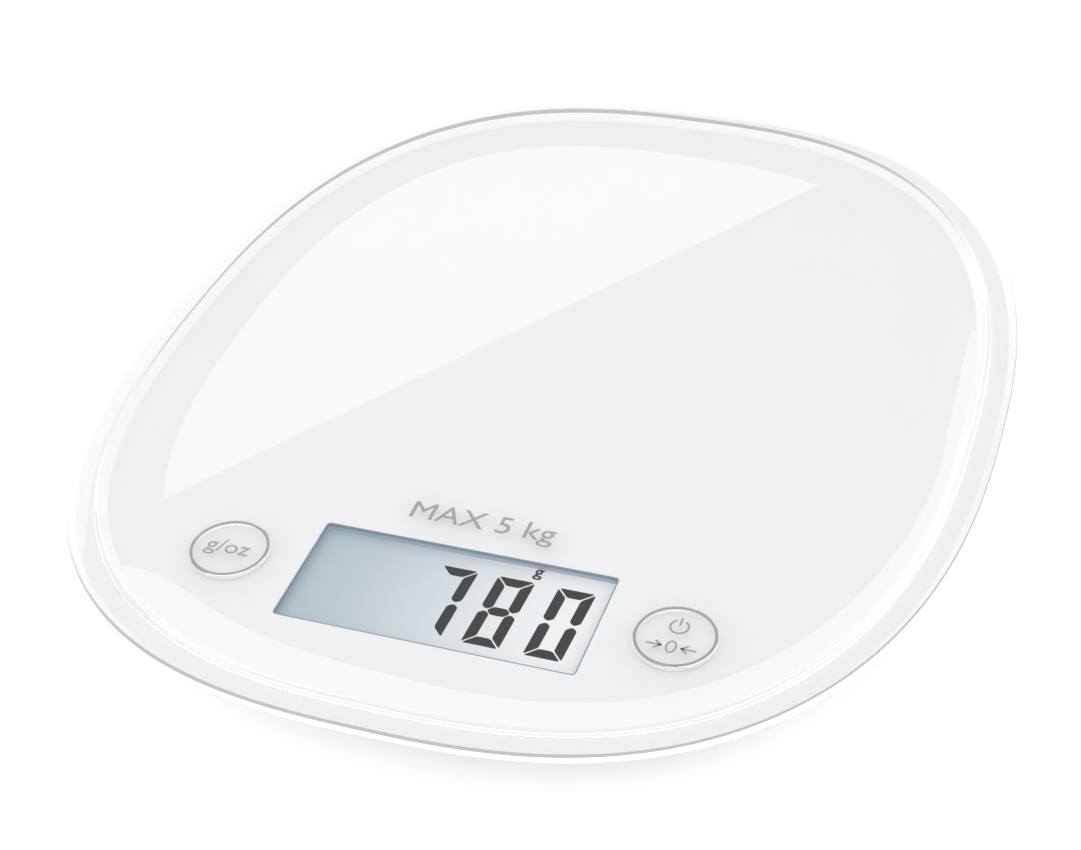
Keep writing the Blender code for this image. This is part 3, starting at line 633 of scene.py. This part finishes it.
def build_display():
    """Liquid crystal cell, and a foam seal round the window whose colour paints the shade on the window's
    walls.
    """
    low, high = box_mm("lcd_glass")
    cell = bmesh.new()
    half_x, half_y = (high.x - low.x) / 2, (high.y - low.y) / 2
    middle_z = (low.z + high.z) / 2
    plate(cell, rounded_rectangle(half_x, half_y, DISPLAY, 0.4), middle_z, high.z)
    # The lower glass stops short of the upper one at the contact edge.
    lower = DISPLAY + Vector((0.0, 0.8, 0.0))
    plate(cell, rounded_rectangle(half_x, half_y - 0.8, lower, 0.4), low.z, middle_z)
    put("lcd_cell", cell, LCD_FILM_PAINTED_REFLECTION, "housing", ["lcd_glass"])

    # A real foam seal. Its blue-grey, darker at the top, is painted shade on the walls of the deck's
    # window.
    seal = bmesh.new()
    thick = 0.25
    rings = []
    seal_low, seal_high = LCD_TOP_Z + 0.02, DECK_TOP_Z
    for inward, z in ((0, seal_high), (0, seal_low), (thick, seal_low), (thick, seal_high)):
        half_x, half_y = WINDOW_SIZE[0] / 2 - 0.02 - inward, WINDOW_SIZE[1] / 2 - 0.02 - inward
        corners = rounded_rectangle(half_x, half_y, DISPLAY, WINDOW_CORNER - inward)
        rings.append([seal.verts.new((x, y, z)) for x, y in corners])
    join_rings(seal, rings + rings[:1], capped=False)
    put("display_seal_painted_shade", seal, FOAM_PAINTED_SHADE, "housing")


def segment_shapes():
    """The seven segments of a digit as plan outlines, by the usual letters."""
    w, h, t, g = DIGIT_WIDTH, DIGIT_HEIGHT, DIGIT_STROKE, DIGIT_GAP
    mid = h / 2
    top = [(g, h), (w - g, h), (w - t - g, h - t), (t + g, h - t)]
    side = [(w, h - g), (w, mid + t * 0.45), (w - t / 2, mid + g), (w - t, mid + t * 0.45)]
    side += [(w - t, h - t - g)]
    bar = [(t * 0.55 + g, mid), (t + g, mid + t / 2), (w - t - g, mid + t / 2)]
    bar += [(w - t * 0.55 - g, mid), (w - t - g, mid - t / 2), (t + g, mid - t / 2)]
    low_side = [(x, h - y) for x, y in side]
    return {
        "a": top,
        "b": side,
        "c": low_side,
        "d": [(x, h - y) for x, y in top],
        "e": [(w - x, y) for x, y in low_side],
        "f": [(w - x, y) for x, y in side],
        "g": bar,
    }


def build_digits():
    """The lit segments of the reading, and the unit's mark over them."""
    lit = ("abc", "abcdefg", "abcdef")
    shapes = segment_shapes()
    base_y = DISPLAY.y + DIGIT_MIDDLE_Y - DIGIT_HEIGHT / 2
    marks = bmesh.new()
    for left, letters in zip(DIGIT_LEFTS, lit):
        for letter in letters:
            corners = []
            for x, y in shapes[letter]:
                lean = DIGIT_LEAN * (y - DIGIT_HEIGHT / 2)
                corners.append((DISPLAY.x + left + x + lean, base_y + y))
            plate(marks, round_corners(corners, 0.5), LCD_TOP_Z + 0.004, LCD_TOP_Z + 0.012)
    put("lcd_digits", marks, LCD_DARK, "housing")
    place = Vector((DISPLAY.x + 13.6, DISPLAY.y + 11.4, LCD_TOP_Z + 0.008))
    print_text("lcd_unit_mark", "g", place, 4.1, LCD_DARK, "housing", bold=0.08, depth=0.004)


def round_corners(corners, radius, steps=3):
    """A plan outline with small round corners."""
    made = []
    for i, corner in enumerate(corners):
        here = Vector(corner)
        back = Vector(corners[i - 1]) - here
        ahead = Vector(corners[(i + 1) % len(corners)]) - here
        reach = min(radius, back.length / 3, ahead.length / 3)
        first, last = here + back.normalized() * reach, here + ahead.normalized() * reach
        for k in range(steps + 1):
            share = k / steps
            made.append(tuple(first.lerp(here, share).lerp(here.lerp(last, share), share)))
    return made


def print_text(name, text, place, size, finish, body, bold=0.0, depth=INK_THICKNESS / 2, stretch=1.0):
    """Plain figures or unit marks as a thin solid, from the left end of the baseline."""
    curve = bpy.data.curves.new(name, "FONT")
    curve.body = text
    curve.size = size * MM
    curve.offset = bold * MM
    curve.extrude = depth * MM
    curve.resolution_u = 6
    drawn = bpy.data.objects.new(name + "_curve", curve)
    bpy.context.scene.collection.objects.link(drawn)
    held = bpy.context.evaluated_depsgraph_get()
    mesh = bpy.data.meshes.new_from_object(drawn.evaluated_get(held))
    bpy.data.objects.remove(drawn)
    mesh.transform(Matrix.Translation(place * MM) @ Matrix.Diagonal((stretch, 1.0, 1.0, 1.0)))
    mesh.materials.clear()
    mesh.materials.append(finish)
    made = bpy.data.objects.new(name, mesh)
    bpy.context.scene.collection.objects.link(made)
    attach(made, body)
    return made


def stroke(shape, points, width, low, high):
    """A line of constant width through plan points, with round ends."""
    half = width / 2
    line = [Vector(point) for point in points]
    left, right = [], []
    for i, point in enumerate(line):
        before = line[max(i - 1, 0)]
        after = line[min(i + 1, len(line) - 1)]
        along = (after - before).normalized()
        side = Vector((-along.y, along.x)) * half
        left.append(point + side)
        right.append(point - side)
    ends = []
    for centre, start in ((line[-1], left[-1]), (line[0], right[0])):
        spoke = start - centre
        for k in range(1, 8):
            ends.append(centre + Matrix.Rotation(-math.pi * k / 8, 2) @ spoke)
    corners = left + ends[:7] + right[::-1] + ends[7:]
    plate(shape, [tuple(corner) for corner in corners], low, high)


def arc(centre, radius, start, end, steps=24):
    """Plan points along an arc, its angles in degrees."""
    points = []
    for i in range(steps + 1):
        turn = math.radians(start + (end - start) * i / steps)
        points.append((centre[0] + radius * math.cos(turn), centre[1] + radius * math.sin(turn)))
    return points


def build_key_marks():
    """Generic marks: a change of units on one key, power over zero on the other."""
    low = PLATFORM_Z + 0.005
    high = low + INK_THICKNESS
    line = 0.42
    unit = middle_mm("unit_key_cap")
    tare = middle_mm("tare_key_cap")

    place = Vector((unit.x - 4.9, unit.y - 1.5, low + INK_THICKNESS / 2))
    print_text("unit_key_mark", "g/oz", place, 5.4, INK, "unit_key", stretch=1.02)

    power = bmesh.new()
    centre = (tare.x, tare.y + 2.6)
    stroke(power, arc(centre, 1.75, 125, 415), line, low, high)
    stroke(power, [(centre[0], centre[1] + 0.5), (centre[0], centre[1] + 2.3)], line, low, high)
    zero = [(tare.x + 1.1 * math.cos(t), tare.y - 2.9 + 1.7 * math.sin(t)) for t in turns(32)]
    hole = [(tare.x + 0.68 * math.cos(t), tare.y - 2.9 + 1.28 * math.sin(t)) for t in turns(32)]
    rings = []
    for path, z in ((zero, high), (zero, low), (hole, low), (hole, high)):
        rings.append([power.verts.new((x, y, z)) for x, y in path])
    join_rings(power, rings + rings[:1], capped=False)
    for side in (-1, 1):
        tip = (tare.x + side * 2.0, tare.y - 2.9)
        tail = (tare.x + side * 4.7, tare.y - 2.9)
        stroke(power, [tip, tail], line, low, high)
        for rise in (-1, 1):
            barb = (tip[0] + side * 1.1, tip[1] + rise * 0.9)
            stroke(power, [tip, barb], line, low, high)
    put("tare_key_mark", power, INK, "tare_key")


def build_capacity_mark():
    """Plain capacity mark behind the display."""
    place = Vector((DISPLAY.x - 15.6, DISPLAY.y + 18.4, PLATFORM_Z + 0.015))
    print_text("capacity_mark", "MAX 5 kg", place, 7.0, INK, "housing", stretch=1.07)


# ------------------------------------------------- underside and inner pieces


def block(shape, half_x, half_y, centre, low, high, corner=0.8, edge=0.3):
    """An upright block with round corners and a rounded top edge."""
    rings = []
    steps = [(edge + 0.2, high), (edge, high), (edge * 0.3, high - edge * 0.3)]
    steps += [(0.0, high - edge), (0.0, low)]
    for inward, z in steps:
        path = rounded_rectangle(half_x - inward, half_y - inward, centre, max(corner - inward, 0.05))
        rings.append([shape.verts.new((x, y, z)) for x, y in path])
    join_rings(shape, rings)


def cross_rod(shape, reach, y, z, radius, sides=24):
    """A round bar across the middle line, with reach to either side."""
    path = [(y + radius * math.cos(turn), z + radius * math.sin(turn)) for turn in turns(sides)]
    rings = []
    for x in (-reach, reach):
        rings.append([shape.verts.new((x, *point)) for point in path])
    join_rings(shape, rings)


def build_pan():
    """White bottom shell: a smooth bowl with the battery tub, posts and foot holes."""
    bottom, top = PAN_LOW.z, PAN_HIGH.z
    floor_z = bottom + PAN_THICKNESS
    inside = [
        (26.0, floor_z, 0),
        (22.0, floor_z, 4.0),
        (18.6, floor_z + 0.5, 8.0),
        (15.0, 8.2, 10.0),
        (11.85, 11.7, 3.0),
        (11.6, top, 0.3),
    ]
    outside = [
        (9.8, top, 0.3),
        (10.05, 11.2, 3.0),
        (13.4, 7.3, 12.0),
        (17.2, 4.3, 9.0),
        (21.0, bottom, 6.0),
        (26.0, bottom, 0),
    ]
    bowl = loft(fillet(inside + outside, 8))
    pan = put("pan_shell", bowl, WHITE_SATIN, "housing", ["base_pan"])
    low, high = box_mm("battery_door")
    opening = Vector((0.0, (low.y + high.y) / 2))
    half_x, half_y = DOOR_HALF_WIDTH + GAP, (high.y - low.y) / 2 + GAP

    raised = bmesh.new()
    buried_z = bottom + PAN_THICKNESS / 2
    tub_x, tub_y = half_x + TUB_WALL, half_y + 1.9
    block(raised, tub_x, tub_y, opening, buried_z, TUB_TOP_Z, 2.0, 0.5)
    add_pan_posts(raised, buried_z)
    combine(pan, raised, "UNION")

    pocket = bmesh.new()
    block(pocket, POCKET_HALF, POCKET_HALF, middle_mm("coin_cell"), 4.0, 9.0, 1.5, 0.4)
    combine(pan, pocket, "DIFFERENCE")
    recess = bmesh.new()
    plate(recess, rounded_rectangle(half_x, half_y, opening, 0.5), bottom - 1.0, floor_z)
    combine(pan, recess, "DIFFERENCE")
    sockets = bmesh.new()
    hinge_y, hinge_z = high.y - DOOR_THICKNESS / 2, bottom + DOOR_THICKNESS / 2 + 0.1
    cross_rod(sockets, DOOR_HALF_WIDTH + 1.5, hinge_y, hinge_z, PIN_RADIUS + 0.25)
    # A shallow scoop lets a fingertip reach the latch.
    turned(sockets, 0.0, low.y - 4.5, [(2.0, 4.2), (4.2, 4.0), (5.8, 3.6), (6.6, 2.6)], 48)
    combine(pan, sockets, "DIFFERENCE")
    holes = bmesh.new()
    add_pan_holes(holes, bottom, floor_z)
    combine(pan, holes, "DIFFERENCE")


def add_pan_posts(shape, buried_z):
    """Clamp blocks under the sensor bars, and round posts over the housing screws."""
    for corner in CORNERS:
        clamp = (middle_mm(f"bar_screw_{corner}_1") + middle_mm(f"bar_screw_{corner}_2")) / 2
        clamp_top = box_mm("sensor_bar_" + corner)[0].z - GAP
        block(shape, *CLAMP_HALF, clamp, buried_z, clamp_top, 1.2, 0.3)
    for i in range(6):
        spot = middle_mm(f"housing_screw_{i + 1}")
        steps = [(POST_RADIUS - 0.3, 8.2), (POST_RADIUS, 7.9), (POST_RADIUS, buried_z)]
        turned(shape, spot.x, spot.y, steps, 48)


def add_pan_holes(shape, bottom, floor_z):
    """Cutters for the feet, the clamp screws and the sunk housing screws."""
    bore = SCREW_HOLE_RADIUS
    for corner in CORNERS:
        spot = middle_mm("foot_" + corner)
        steps = [(5.2, floor_z + 1.0), (5.2, bottom + 0.2), (5.6, bottom - 0.6)]
        turned(shape, spot.x, spot.y, steps, 64)
        for i in (1, 2):
            spot = middle_mm(f"bar_screw_{corner}_{i}")
            turned(shape, spot.x, spot.y, [(bore, 8.0), (bore, 4.2)], 24)
    for i in range(6):
        spot = middle_mm(f"housing_screw_{i + 1}")
        steps = [(bore, 9.0), (bore, 6.0), (2.8, 6.0), (2.8, bottom + 0.25), (3.3, bottom - 0.6)]
        turned(shape, spot.x, spot.y, steps, 48)


def build_door():
    """Battery door: round edges, hinge pins, a grooved grip and a sprung latch tongue."""
    low, high = box_mm("battery_door")
    thick = DOOR_THICKNESS
    middle_z = PAN_LOW.z + thick / 2
    hinge_y, hinge_z = high.y - thick / 2, middle_z + 0.1
    shape = bmesh.new()
    ends = []
    # Shares of the half width, and how far the edges are rounded in there.
    for x, inward in ((-1.0, 0.25), (-0.983, 0.0), (0.983, 0.0), (1.0, 0.25)):
        half = thick / 2 - inward
        front = low.y + inward
        path = [(front, middle_z + half - 0.2), (front, middle_z - half + 0.2)]
        path.append((front + 0.2, middle_z - half))
        for i in range(13):
            turn = math.radians(-90 + 15 * i)
            path.append((hinge_y + half * math.cos(turn), middle_z + half * math.sin(turn)))
        path.append((front + 0.2, middle_z + half))
        ends.append([shape.verts.new((x * DOOR_HALF_WIDTH, y, z)) for y, z in path])
    join_rings(shape, ends)
    door = put("door_panel", shape, WHITE_SATIN, "battery_door", ["battery_door"])
    pins = bmesh.new()
    cross_rod(pins, high.x, hinge_y, hinge_z, PIN_RADIUS)
    combine(door, pins, "UNION")

    cuts = bmesh.new()
    for side in (-1, 1):
        slot_middle = Vector((side * 4.6, low.y + 3.0))
        plate(cuts, rounded_rectangle(0.4, 5.0, slot_middle, 0.38), 2.4, 6.0)
    plate(cuts, rounded_rectangle(3.0, 1.3, Vector((0.0, low.y + 0.3)), 0.5), 2.4, PAN_LOW.z + 0.8)
    combine(door, cuts, "DIFFERENCE")
    grip = bmesh.new()
    for i in range(5):
        cross_rod(grip, 8.0 - 0.9 * i, low.y + 12.0 + 1.6 * i, PAN_LOW.z - 0.25, 0.6)
    combine(door, grip, "DIFFERENCE")


def build_foot(corner):
    """Foot with its ringed rubber pad and the sensor bar that carries it."""
    body = corner + "_foot"
    low, high = box_mm("foot_" + corner)
    spot = (low + high) / 2
    radius = high.x - spot.x
    brim = PAN_LOW.z - 0.7
    profile = [
        (0.0, high.z, 0),
        (4.0, high.z, 0.3),
        (4.0, brim, 0.2),
        (radius, brim, 0.5),
        (radius, low.z, 0.15),
        (0.0, low.z, 0),
    ]
    foot = bmesh.new()
    turned(foot, spot.x, spot.y, fillet(profile, 22)[1:-1], 96)
    shown = put("foot_cup_" + corner, foot, WHITE_SATIN, body, ["foot_" + corner])
    bore = bmesh.new()
    turned(bore, spot.x, spot.y, [(SCREW_HOLE_RADIUS, high.z + 1.0), (SCREW_HOLE_RADIUS, 3.2)], 32)
    combine(shown, bore, "DIFFERENCE")

    low, high = box_mm("foot_pad_" + corner)
    radius = high.x - spot.x
    steps = [(radius, high.z), (radius, 0.3), (radius - 0.1, 0.08), (radius - 0.3, 0.0)]
    for inner in (7.0, 4.8, 2.6):
        steps += [(inner + 0.7, 0.0), (inner + 0.6, 0.3), (inner, 0.3), (inner - 0.1, 0.0)]
    pad = bmesh.new()
    turned(pad, spot.x, spot.y, steps, 96)
    put("pad_disc_" + corner, pad, GREY_RUBBER, body, ["foot_pad_" + corner])
    build_bar(corner, spot, body)


def build_bar(corner, foot, body):
    """Milled sensor bar with a waist, and the strain gauge film bonded over it."""
    low, high = box_mm("sensor_bar_" + corner)
    way = 1 if high.y - foot.y > foot.y - low.y else -1
    half = (high.x - low.x) / 2
    widths = (half, half, BAR_WAIST, BAR_WAIST, half, half)
    right = [(foot.x + wide, foot.y + way * end) for end, wide in zip(BAR_ENDS, widths)]
    left = [(2 * foot.x - x, y) for x, y in right[::-1]]
    shape = bmesh.new()
    plate(shape, round_corners(right + left, 1.2), low.z, high.z)
    bar = put("load_bar_" + corner, shape, ALUMINIUM, body, ["sensor_bar_" + corner])
    holes = bmesh.new()
    clamps = [middle_mm(f"bar_screw_{corner}_{i}") for i in (1, 2)]
    for spot in (foot, *clamps):
        steps = [(SCREW_HOLE_RADIUS, high.z + 1.0), (SCREW_HOLE_RADIUS, low.z - 1.0)]
        turned(holes, spot.x, spot.y, steps, 32)
    combine(bar, holes, "DIFFERENCE")
    film = bmesh.new()
    middle = Vector((foot.x, foot.y + way * GAUGE_REACH))
    block(film, 2.6, 3.2, middle, high.z + 0.02, high.z + 0.12, 0.4, 0.03)
    put("strain_gauge_" + corner, film, GAUGE_FILM, body)


def build_screw(node, body, up):
    """Pan-head screw with a cross recess and a ringed shank, its head up or down."""
    low, high = box_mm(node)
    spot = (low + high) / 2
    head = high.x - spot.x
    shank = head / 2
    crown, tip = (high.z, low.z) if up > 0 else (low.z, high.z)
    seat = crown - up * SCREW_HEAD_HEIGHT
    profile = [(0.0, crown, 0), (head * 0.75, crown, 0.6), (head, seat + up * 0.5, 0.4)]
    profile += [(head, seat, 0.1), (shank, seat, 0)]
    steps = fillet(profile, 20)[1:]
    for i in range(int((abs(tip - seat) - 1.4) / THREAD_PITCH)):
        z = seat - up * (0.3 + THREAD_PITCH * i)
        steps += [(shank * THREAD_ROOT, z), (shank, z - up * THREAD_PITCH / 2)]
    steps += [(shank * THREAD_ROOT, tip + up * 0.8), (shank * 0.3, tip)]
    shape = bmesh.new()
    turned(shape, spot.x, spot.y, steps, 32)
    screw = put(node + "_turned", shape, STEEL, body, [node])

    arm, thin = head * 0.55, 0.22
    corners = []
    for quarter in turns(4):
        turn = Matrix.Rotation(quarter, 2)
        for corner in ((arm, -thin), (arm, thin), (thin, thin)):
            corners.append(tuple(turn @ Vector(corner) + spot.xy))
    cross = bmesh.new()
    plate(cross, corners, *sorted((crown - up * 0.9, crown + up)))
    combine(screw, cross, "DIFFERENCE")


def build_cell():
    """Coin cell: a rolled-edge can with the smaller cap standing up from its crimp."""
    low, high = box_mm("coin_cell")
    spot = (low + high) / 2
    radius = high.x - spot.x
    profile = [
        (0.0, high.z, 0),
        (radius - 1.4, high.z, 0.2),
        (radius - 1.2, high.z - 0.5, 0.1),
        (radius, high.z - 0.5, 0.35),
        (radius, low.z, 0.4),
        (0.0, low.z, 0),
    ]
    shape = bmesh.new()
    turned(shape, spot.x, spot.y, fillet(profile, 15)[1:-1], 128)
    put("cell_can", shape, CELL_STEEL, "housing", ["coin_cell"])


# --------------------------------------------------- stage, lights, camera

FLOOR_HALF = 2500.0
CAMERA_PLACE = Vector((138.5, -357.1, 309.2))
CAMERA_TURN = (51.38, 3.377, 19.322)  # in degrees
CAMERA_LENS = 75.2
SOFTBOX_RADIANCE = 0.98
SOFTBOX_SIZE = (3.6, 2.6)  # in metres, as is the distance
SOFTBOX_DISTANCE = 3.0
# The softbox's straight edge is seen mirrored in the platform between these points.
MIRROR_LINE = (Vector((-63.8, -56.9, PLATFORM_Z)), Vector((39.8, 93.9, PLATFORM_Z)))
# The room is even, but darker in the part that the platform mirrors to the camera.
ROOM_LEVEL = 1.16
ROOM_DARK_LEVEL = 0.55
ROOM_DARK_WAY = (-0.35, 0.66, 0.665)


def build_floor():
    """A wide flat light table."""
    shape = bmesh.new()
    corners = ((-1, -1), (1, -1), (1, 1), (-1, 1))
    shape.faces.new([shape.verts.new((x * FLOOR_HALF, y * FLOOR_HALF, 0.0)) for x, y in corners])
    floor = put("light_table", shape, white_acrylic_cast_matt(), None)


def build_camera():
    data = bpy.data.cameras.new("camera")
    data.lens = CAMERA_LENS
    data.sensor_width = 36.0
    data.clip_start = 0.01
    data.clip_end = 20.0
    made = bpy.data.objects.new("camera", data)
    made.location = CAMERA_PLACE * MM
    made.rotation_euler = [math.radians(angle) for angle in CAMERA_TURN]
    bpy.context.scene.collection.objects.link(made)
    bpy.context.scene.camera = made


def area_light(name, centre, aim, up, size, radiance):
    """A rectangular softbox of even radiance that faces aim."""
    data = bpy.data.lights.new(name, "AREA")
    data.shape = "RECTANGLE"
    data.size, data.size_y = size
    data.energy = radiance * math.pi * size[0] * size[1]
    back = (centre - aim).normalized()
    side = up.cross(back).normalized()
    turn = Matrix((side, back.cross(side), back)).transposed()
    made = bpy.data.objects.new(name, data)
    made.matrix_world = Matrix.Translation(centre) @ turn.to_4x4()
    bpy.context.scene.collection.objects.link(made)


def build_lights():
    """A large softbox at the back left, in a pale room that is darker behind the scale."""
    near, far = MIRROR_LINE
    below = Vector((CAMERA_PLACE.x, CAMERA_PLACE.y, 2 * PLATFORM_Z - CAMERA_PLACE.z))
    middle = (near + far) / 2
    outward = (middle - below).normalized()
    across = (near - below).cross(far - below).normalized()
    if across.x > 0:
        across = -across  # the side towards the back left
    edge = across.cross(outward).normalized()
    place = middle * MM + outward * SOFTBOX_DISTANCE + across * SOFTBOX_SIZE[1] / 2
    up = edge.cross(outward)
    area_light("softbox_back_left", place, place - outward, up, SOFTBOX_SIZE, SOFTBOX_RADIANCE)

    world = bpy.data.worlds.new("studio")
    world.use_nodes = True
    tree = world.node_tree
    tree.nodes.clear()
    place = add_node(tree, "ShaderNodeTexCoord")
    inputs = {0: place.outputs["Generated"], 1: ROOM_DARK_WAY}
    lean = add_node(tree, "ShaderNodeVectorMath", inputs, operation="DOT_PRODUCT")
    inputs = {"Value": lean.outputs["Value"], "From Min": 0.75, "From Max": 0.95}
    inputs.update({"To Min": ROOM_LEVEL, "To Max": ROOM_DARK_LEVEL})
    level = add_node(tree, "ShaderNodeMapRange", inputs)
    inputs = {"Color": (1.0, 1.0, 1.0, 1.0), "Strength": level.outputs[0]}
    sky = add_node(tree, "ShaderNodeBackground", inputs)
    add_node(tree, "ShaderNodeOutputWorld", {"Surface": sky.outputs[0]})
    bpy.context.scene.world = world
    bpy.context.scene.view_settings.view_transform = "Standard"


# ----------------------------------------------------------------------- run


def paint_packed_nodes():
    """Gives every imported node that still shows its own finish."""
    finishes = {
        "frame_plastic": moulded_plastic("grey_polycarbonate_moulded", "#c2c4c6", "#cdcfd1"),
        "white_plastic": WHITE_SATIN,
        "clear_plastic": CLEAR,
        "display_glass": LCD_FILM_PAINTED_REFLECTION,
        "black_rubber": BLACK_RUBBER,
        "grey_rubber": GREY_RUBBER,
        "circuit_board": green_solder_mask_screen_coated(),
        "epoxy": moulded_plastic("black_epoxy_poured", "#101011", "#18181a", rough=0.25),
        "switch_plastic": moulded_plastic("black_nylon_moulded", "#1c1c1e", "#28282a"),
        "steel": STEEL,
        "nickel": NICKEL,
        "aluminium": ALUMINIUM,
        "red_insulation": moulded_plastic("red_vinyl_extruded", "#a81f1c", "#bd2a24", rough=0.4),
        "black_insulation": moulded_plastic("black_vinyl_extruded", "#171718", "#222224", rough=0.4),
        "grey_insulation": moulded_plastic("grey_vinyl_extruded", "#8b8d8f", "#9a9c9e", rough=0.4),
        "label_film": silver_polyester_brushed(),
    }
    own = {"coin_cell": CELL_STEEL, "lcd_reflector": WHITE}
    for part in frame["record"]["subparts"]:
        node = frame["nodes"][part["node"]]
        node.data.materials.clear()
        node.data.materials.append(own.get(part["node"], finishes[part["material_slot"]]))


build_camera()
paint_packed_nodes()
build_tray()
build_deck()
for key in ("unit", "tare"):
    build_key(key)
build_display()
build_digits()
build_key_marks()
build_capacity_mark()
build_pan()
build_door()
build_cell()
for name in CORNERS:
    build_foot(name)
    build_screw("foot_screw_" + name, name + "_foot", 1)
    build_screw(f"bar_screw_{name}_1", "housing", 1)
    build_screw(f"bar_screw_{name}_2", "housing", 1)
for number in range(1, 7):
    build_screw(f"housing_screw_{number}", "housing", -1)
for number in (1, 2):
    build_screw(f"board_screw_{number}", "housing", -1)
build_floor()
build_lights()
